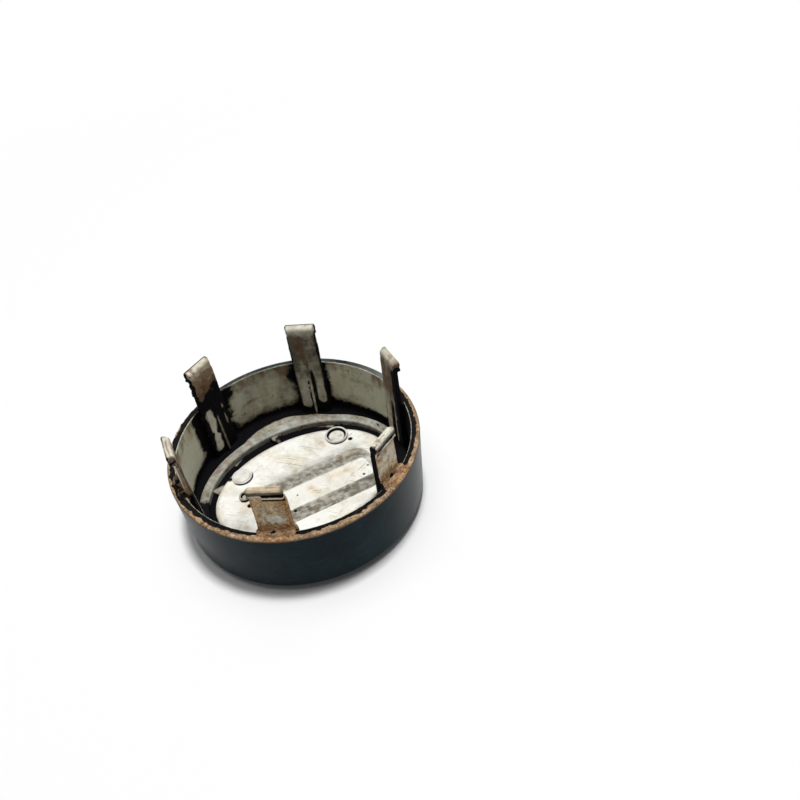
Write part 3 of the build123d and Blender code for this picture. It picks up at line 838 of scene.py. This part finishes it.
    # Painted shade along the hook's outer edge and on the back of the head's sides.
    if 1 <= number <= 3:
        hook_outline_shade = 0.75 if number < 3 else 0.3
        grime += hook_outline_shade * ramp(x, 28.72, 28.88) * ramp(z, crest - 1.0, crest - 0.6)
        grime += 0.8 * both_sides * ramp(x, 28.1, 28.5) * head * (number < 3)
    brown = inward * (face_brown - 0.3 * ramp(z, crest - 2.2, crest - 1.2)) + 0.3 * both_sides
    stripes = bell(x - 28.4 + 0.25 * lumps(rings, 3.0, 42), 0.22) * top_face
    dabs = ramp(lumps(rings, 0.9, 72) + 0.4 * lumps(rings, 0.45, 73), 0.3, 0.75) * top_face
    brown = (brown + 0.22 * lumps(rings, 3.0, 21)) * (1 - 0.75 * top_face)
    brown += top_face * (0.3 * lumps(rings, 1.5, 22) + 0.34 * (number == 0))
    brown += crest_stripes[number] * stripes + 0.5 * dabs
    foot_soil = 0.5 * fall(z, rim_height + 0.5, rim_height + 4.5)
    soil = outward * (outer_soil + foot_soil) + before * (before_soil + 0.4 * foot_soil)
    soil += after * (after_soil + 0.4 * foot_soil)
    soil = (soil + 0.16 * lumps(rings, 2.2, 23)) * (1 - 0.85 * head) * (outward + before + after > 0.5)
    veil = inward * face_veil * (1 - top_face) + 0.95 * bead_shade + 0.4 * painted_shadow_under_hook
    veil += 0.25 * outward * stem + 0.2 * both_sides * head + 0.12 * lumps(rings, 1.5, 43)
    veil += top_face * (0.16 + 0.16 * (number == 0) + 0.2 * lumps(rings, 1.0, 74) + 0.45 * near_edge)
    warmth = warm * head + 0.9 * (number > 3) * outward * fall(z, rim_height + 1.0, rim_height + 3.5)
    if number == 2:
        warmth += 0.7 * inward * ramp(z, 21.0, 24.0) * fall(z, crest - 4.0, crest - 1.0)
    if number == 3:
        # A painted highlight clears the dirt from the outer corner towards the camera; the hook's end beside
        # it is dark.
        gap = np.hypot(np.clip(back[:, None] - x, 0, None), np.clip(half_width[:, None] - y, 0, None))
        painted_highlight_width = np.interp(z, (rim_height, head_level), (-0.05, 0.42))
        painted_highlight = fall(gap - painted_highlight_width, 0.0, 0.1) * ramp(z, rim_height + 0.3, rim_height + 1.0) * stem
        hook_end = after * ramp(z, head_level - 1.5, head_level + 0.3)
        grime += 0.38 * hook_end * (1 + 0.9 * lumps(rings, 0.6, 59))
        brown += 0.4 * after + 0.8 * hook_end
        grime, brown, soil, veil = (field * (1 - painted_highlight) for field in (grime, brown, soil, veil))
        warmth = np.maximum(warmth, 0.3 * painted_highlight)
    if number == 4:
        # Bare grey patches in the soil, low in the middle and beside the worn lip.
        bare_patch = 1.3 * spot(y - 1.1, 1.5, z - 23.7, 1.1) + 0.8 * spot(y + 0.2, 0.6, z - 21.8, 1.3)
        bare_patch += 1.2 * spot(y + 2.6, 1.4, z - 30.4, 0.8)
        bare_patch += 0.6 * spot(y + 2.4, 1.0, z - 23.0, 1.6)
        uneven = 1 + 0.9 * lumps(rings, 0.9, 60) + 0.8 * lumps(rings, 0.45, 75)
        soil = soil - 0.7 * outward * bare_patch * uneven
        warmth += (0.8 * near_edge + 0.6 * ramp(z, 27.0, 30.0)) * outward * stem
        veil += 0.3 * outward * bare_patch * (0.2 + 1.4 * lumps(rings, 0.6, 79))
    if number == 5:
        # A brown smear on the bead, whose end towards the camera is black, and a dull end on the lip below.
        dull_lip = bell(z - crest + 2.35, 0.4) * outward * fall(y, -2.2, 0.6)
        dark_end = fall(y + 0.3 * lumps(rings, 0.8, 61), -3.9, -2.9) * head
        soil = soil - outward * stem * (0.12 + 0.15 * lumps(rings, 1.2, 84))
        veil = veil - 0.22 * outward * stem - 0.16 * top_face + 0.6 * dull_lip
        warmth += 0.4 * outward * (near_edge + ramp(z, crest - 7.0, crest - 4.0)) * stem
        grime += 0.5 * dark_end + 0.7 * outward * fall(y, -3.8, -3.2) * stem
        brown += 0.6 * spot(y + 1.5, 0.3, z - crest, 0.9) + 0.7 * dull_lip + 0.8 * dark_end

    # Greasy edges are crumbly, and one tab is twisted.
    crumbled = (before * before_grime + after * after_grime) * stem * ramp(z, 4.0, 8.0)
    crumbs = np.clip(lumps(rings, 0.8, 24) + 0.5 * lumps(rings, 0.4, 25), 0, None)
    swell = crumbled * np.where((number == 2) & (y > 0), 0.85, 0.16) * crumbs
    twist = np.radians(tab_twist[number]) * above_rim
    depth, width = x - leaning - tab_middle, y + np.sign(y) * swell
    twisted_x = tab_middle + depth * np.cos(twist) + width * np.sin(twist)
    twisted_y = width * np.cos(twist) - depth * np.sin(twist)
    rings = standing(twisted_x, twisted_y, z, degrees)
    masks = dirt_masks(grime, brown, soil, np.clip(warmth, 0, 1), veil)
    skin(f"snap_tab_{number + 1}", rings, masks, tab_plastic)

    # The gusset: a thin web that tapers up the tab's inner face, black at its foot and on its sides.
    half_depth = (tab_back - 0.6 - gusset_front)[:, None] / 2
    x, y, out, _ = outline(half_depth, np.full_like(half_depth, gusset_half), 0.15, 10, 5, 3)
    x = x + gusset_front[:, None] + half_depth
    z = gusset_heights[:, None]
    rings = standing(x, y, z, degrees)
    edge = np.clip(-out, 0, 1)
    grime = (1 - edge) * (0.8 + 0.25 * lumps(rings, 2.0, 26)) * fall(z, 17, 22) + 0.55 * fall(z, 3.8, 5.0)
    grime += edge * ramp(z, 13.0, 20.0) * (0.9 if number == 2 else 0.2)
    brown = 0.25 + 0.3 * ramp(z, 14.0, 18.0) + 0.25 * lumps(rings, 2.0, 27)
    veil = 0.5 + inner_veil * ramp(z, 12.0, 26.0) + 0.4 * (number == 2)
    skin(f"gusset_{number + 1}", rings, dirt_masks(grime, brown, veil=veil), tab_plastic)

# Road soil caked on the rim's shoulder, where the cap sat against the wheel: a brown lumpy crust, and black
# grease over the lip inside it. There is hardly any on the far side.
soil_turns = (0, 6, 12, 124, 129, 136, 160, 180, 240, 300, 345, 360)
soil_amounts = (0.9, 0.7, 0.0, 0.0, 0.6, 0.8, 0.8, 0.85, 1.0, 1.0, 0.95, 0.9)
boundary_turns = (0, 20, 120, 128, 170, 200, 230, 300, 360)
boundary_radii = (30.6, 30.3, 30.3, 30.85, 30.65, 30.4, 30.25, 30.45, 30.6)
crust_inner, crust_outer = 29.42, 31.42
caked, tree, place = new_material("caked_soil")
grains = cloud(tree, place, 1500.0, 6.0, 0.7)
patches = cloud(tree, place, 300.0, 5.0, 0.65)
tone = blended(tree, stepped(tree, patches, 0.35, 0.68), srgb(136, 112, 86), srgb(192, 164, 131))
tone = blended(tree, mask_of(tree, "rust"), tone, srgb(176, 122, 72))
tone = blended(tree, stepped(tree, grains, 0.52, 0.68, 0.0, 0.8), tone, srgb(226, 206, 174))
tone = blended(tree, stepped(tree, grains, 0.48, 0.34, 0.0, 0.9), tone, srgb(70, 51, 37))
grease = ragged_mask(tree, place, mask_of(tree, "grease"), 900.0, 1.1, 0.07)
tone = blended(tree, grease, tone, blended(tree, grains, srgb(8, 8, 11), srgb(28, 26, 26)))
surface(tree, tone, stepped(tree, grease, 0.0, 1.0, 0.95, 0.75), grains, 0.8, 0.0002, 0.07)

turn = np.linspace(0, 2 * np.pi, 900, endpoint=False)[:, None]
degrees = np.degrees(turn)
amount = np.interp(degrees, soil_turns, soil_amounts)
across = np.linspace(0, 1, 28)
radius = crust_inner + (crust_outer - crust_inner) * across
over_edge = np.clip(radius - (rim_radius - rim_round), 0, rim_round * 0.999)
base = rim_height - (rim_round - np.sqrt(rim_round**2 - over_edge**2))
base = base + (lip_top - rim_height) * fall(radius, 29.78, 30.0)
top = around(radius, radius, turn, base)
boundary = np.interp(degrees, boundary_turns, boundary_radii)
boundary = boundary + 0.2 * lumps(top, 3.5, 30) + 0.25 * lumps(top, 1.2, 31)
broken = np.interp(degrees, (124, 138, 205, 235), (0.0, 1.0, 1.0, 0.0)) * (0.34 + 0.75 * lumps(top, 1.7, 44))
by_tabs = np.exp(-(((degrees - 240.0) / 8.0) ** 4)) + np.exp(-(((degrees - 303.0) / 6.5) ** 4))
grease = 0.5 - 1.4 * (radius - boundary) + 0.6 * (1 - amount) + broken - 1.2 * by_tabs
grease = np.clip(grease, 0, 1.2)
body = np.clip(np.minimum(across, 1 - across) / 0.12, 0, 1) ** 0.7
thick = 0.26 + 0.22 * lumps(top, 1.1, 32) + 0.14 * lumps(top, 0.45, 33)
thick = np.where(radius < 29.95, 0.1 + 0.25 * (thick - 0.26), thick)
thick = thick * ramp(amount, 0.05, 0.6) + 0.08 * (amount - 0.4)
top[..., 2] += np.where(body < 1, body * np.clip(thick + 0.08, 0, None) - 0.08, thick)
under_radius = np.linspace(crust_outer - 0.15, crust_inner + 0.1, 5)
under = around(under_radius, under_radius, turn, rim_height - 0.6)
grease = np.concatenate([grease, np.ones((len(turn), len(under_radius)))], axis=1)
rust = np.clip(0.5 * by_tabs + 0.2 * lumps(turn * np.ones(3) * 20, 3.0, 62)[:, None], 0, 1)
rings = np.concatenate([top, under], axis=1)
skin("rim_soil", rings, {"grease": grease, "rust": rust}, caked, loop=True, moulded=False)

# Clods of soil in the corners between the rim and the outer faces of four tabs, thickest on the two tabs
# nearest the camera. For each tab: height, reach outwards, grease, patchiness of the grease, and rust.
clods = {
    0: (1.4, 1.4, 1.0, 0.2, 0.1),
    3: (2.4, 1.9, 0.5, 0.6, 0.2),
    4: (2.2, 2.3, 0.1, 0.4, 0.35),
    5: (2.2, 2.3, 0.15, 0.45, 0.35),
}
buried_depths = np.array((30.2, 29.4, 28.3, 28.1))
buried_levels = rim_height + np.array((-0.5, -0.5, -0.4, 0.05))
for number, (clod_height, clod_reach, clod_grease, patchy, clod_rust) in clods.items():
    y = np.linspace(-4.4, 5.2, 110)[:, None]
    u = np.linspace(0, 1, 34)
    fade = np.clip(1 - np.abs((y - 0.4) / 4.82) ** 5, 0.02, 1)
    along = np.concatenate([y, 0 * y + number, 0 * y], axis=-1)
    uneven = clod_height * (0.82 + 0.45 * lumps(along, 1.8, 46) + 0.3 * lumps(along, 0.7, 63))[:, None]
    outer_x = tab_back + fade * clod_reach * u**1.5
    over_lip = 0.72 * fall(np.hypot(outer_x, y), 29.9, 30.7) * fade**0.3
    outer_z = rim_height + 0.1 + np.maximum(fade * uneven * (1 - u) ** 1.7, over_lip)
    flat = standing(outer_x, y, outer_z, 60.0 * number)
    swell = fade * (0.28 * lumps(flat, 1.0, 34) + 0.28 * lumps(flat, 0.45, 35))
    swell = swell * np.sin(np.pi * np.clip(u, 0.04, 1)) ** 0.5
    hole = spot(y + 0.4, 0.6, u - 0.55, 0.13) * (number == 4)
    hole += spot(y - 0.6, 0.9, u - 0.4, 0.1) * (number == 5)
    hole = hole * (0.75 + 0.7 * lumps(flat, 0.6, 76))
    outer_x = outer_x + 0.5 * swell - 0.4 * hole
    outer_z = outer_z + 0.9 * swell - 0.5 * hole
    buried_x = np.minimum(buried_depths, outer_x[:, -1:])
    x = np.concatenate([outer_x, buried_x], axis=1)
    z = np.concatenate([outer_z, np.broadcast_to(buried_levels, buried_x.shape)], axis=1)
    rings = standing(x, y, z, 60.0 * number)
    in_hole = np.concatenate([hole, np.zeros(buried_x.shape)], axis=1)
    grease = clod_grease + 1.2 * in_hole + patchy * lumps(rings, 1.4, 36)
    grease += 0.9 * fall(y, -4.3, -3.0) * (number == 5)
    grease += 0.5 * ramp(np.abs(y), 4.1, 5.0) * (number == 4)
    rust = np.clip(clod_rust * (0.7 + 0.9 * lumps(rings, 1.1, 37)), 0, 1)
    skin(f"tab_soil_{number + 1}", rings, {"grease": grease, "rust": rust}, caked, moulded=False)

# The stage: a plain pale floor under a small overhead lamp and a broad soft panel, and the camera where the
# picture was taken. The floor turns to white away from the cap, as the background does.
floor_reach = 1.6
floor_drop = 0.05 * mm
white = (1.0, 1.0, 1.0, 1.0)
signs = ((-1, -1), (1, -1), (1, 1), (-1, 1))
ground = bpy.data.meshes.new("floor")
ground.from_pydata([(floor_reach * a, floor_reach * b, -floor_drop) for a, b in signs], [], [(0, 1, 2, 3)])
ground_piece = bpy.data.objects.new("floor", ground)
bpy.context.scene.collection.objects.link(ground_piece)


def shown_white(tree):
    """One where the background is seen by the camera, in a mirror or through glass; else nought."""
    path = add(tree, "ShaderNodeLightPath").outputs
    mirrored = math(tree, "MAXIMUM", path["Is Glossy Ray"], path["Is Transmission Ray"])
    return math(tree, "MAXIMUM", path["Is Camera Ray"], mirrored)


pale, tree, place = new_material("pale_floor")
tree.nodes.remove(tree.nodes["Principled BSDF"])
paper = add(tree, "ShaderNodeBsdfDiffuse", {"Color": (0.92, 0.92, 0.92, 1.0)})
glow = add(tree, "ShaderNodeEmission", {"Color": white, "Strength": 0.02})
near = add(tree, "ShaderNodeAddShader", {0: paper.outputs[0], 1: glow.outputs[0]})
backdrop = add(tree, "ShaderNodeEmission", {"Color": white, "Strength": 1.0})
distance = add(tree, "ShaderNodeVectorMath", {0: place}, operation="LENGTH").outputs["Value"]
far = stepped(tree, distance, 0.1, 0.4)
both = add(tree, "ShaderNodeMixShader", {0: far, 1: near.outputs[0], 2: backdrop.outputs[0]})
shown = add(tree, "ShaderNodeMixShader", {0: shown_white(tree), 1: paper.outputs[0], 2: both.outputs[0]})
tree.links.new(shown.outputs[0], tree.nodes["Material Output"].inputs["Surface"])
ground.materials.append(pale)

world = bpy.data.worlds.new("studio")
bpy.context.scene.world = world
world.use_nodes = True
tree = world.node_tree
tree.nodes.clear()
strength = stepped(tree, shown_white(tree), 0.0, 1.0, 0.07, 1.0)
sky = add(tree, "ShaderNodeBackground", {"Color": white, "Strength": strength})
add(tree, "ShaderNodeOutputWorld", {"Surface": sky.outputs[0]})

# Each lamp: its place and size in metres, and its power in watts.
lamps = {"top_lamp": ((0.16, 0.03, 2.0), 0.28, 29.0), "soft_panel": ((0.0, 0.1, 1.4), 1.1, 6.5)}
for name, (lamp_place, lamp_size, lamp_power) in lamps.items():
    lamp = bpy.data.lights.new(name, "AREA")
    lamp.size = lamp_size
    lamp.energy = lamp_power
    lamp_piece = bpy.data.objects.new(name, lamp)
    lamp_piece.location = lamp_place
    lamp_piece.rotation_euler = (-Vector(lamp_place)).to_track_quat("-Z", "Y").to_euler()
    lamp_piece.visible_camera = False
    bpy.context.scene.collection.objects.link(lamp_piece)

camera_place = Vector((-27.53, -137.10, 152.71)) * mm
camera_aim = Vector((28.84, -2.21, 19.90)) * mm
camera_roll = np.radians(-7.62)
camera_data = bpy.data.cameras.new("camera")
camera_data.lens = 34.57
camera_data.sensor_width = 36.0
camera_data.clip_start = 0.005
camera_data.clip_end = 20.0
camera = bpy.data.objects.new("camera", camera_data)
facing = (camera_aim - camera_place).to_track_quat("-Z", "Y").to_matrix().to_4x4()
camera.matrix_world = Matrix.Translation(camera_place) @ facing @ Matrix.Rotation(camera_roll, 4, "Z")
bpy.context.scene.collection.objects.link(camera)
bpy.context.scene.camera = camera

bpy.context.scene.view_settings.view_transform = "Standard"
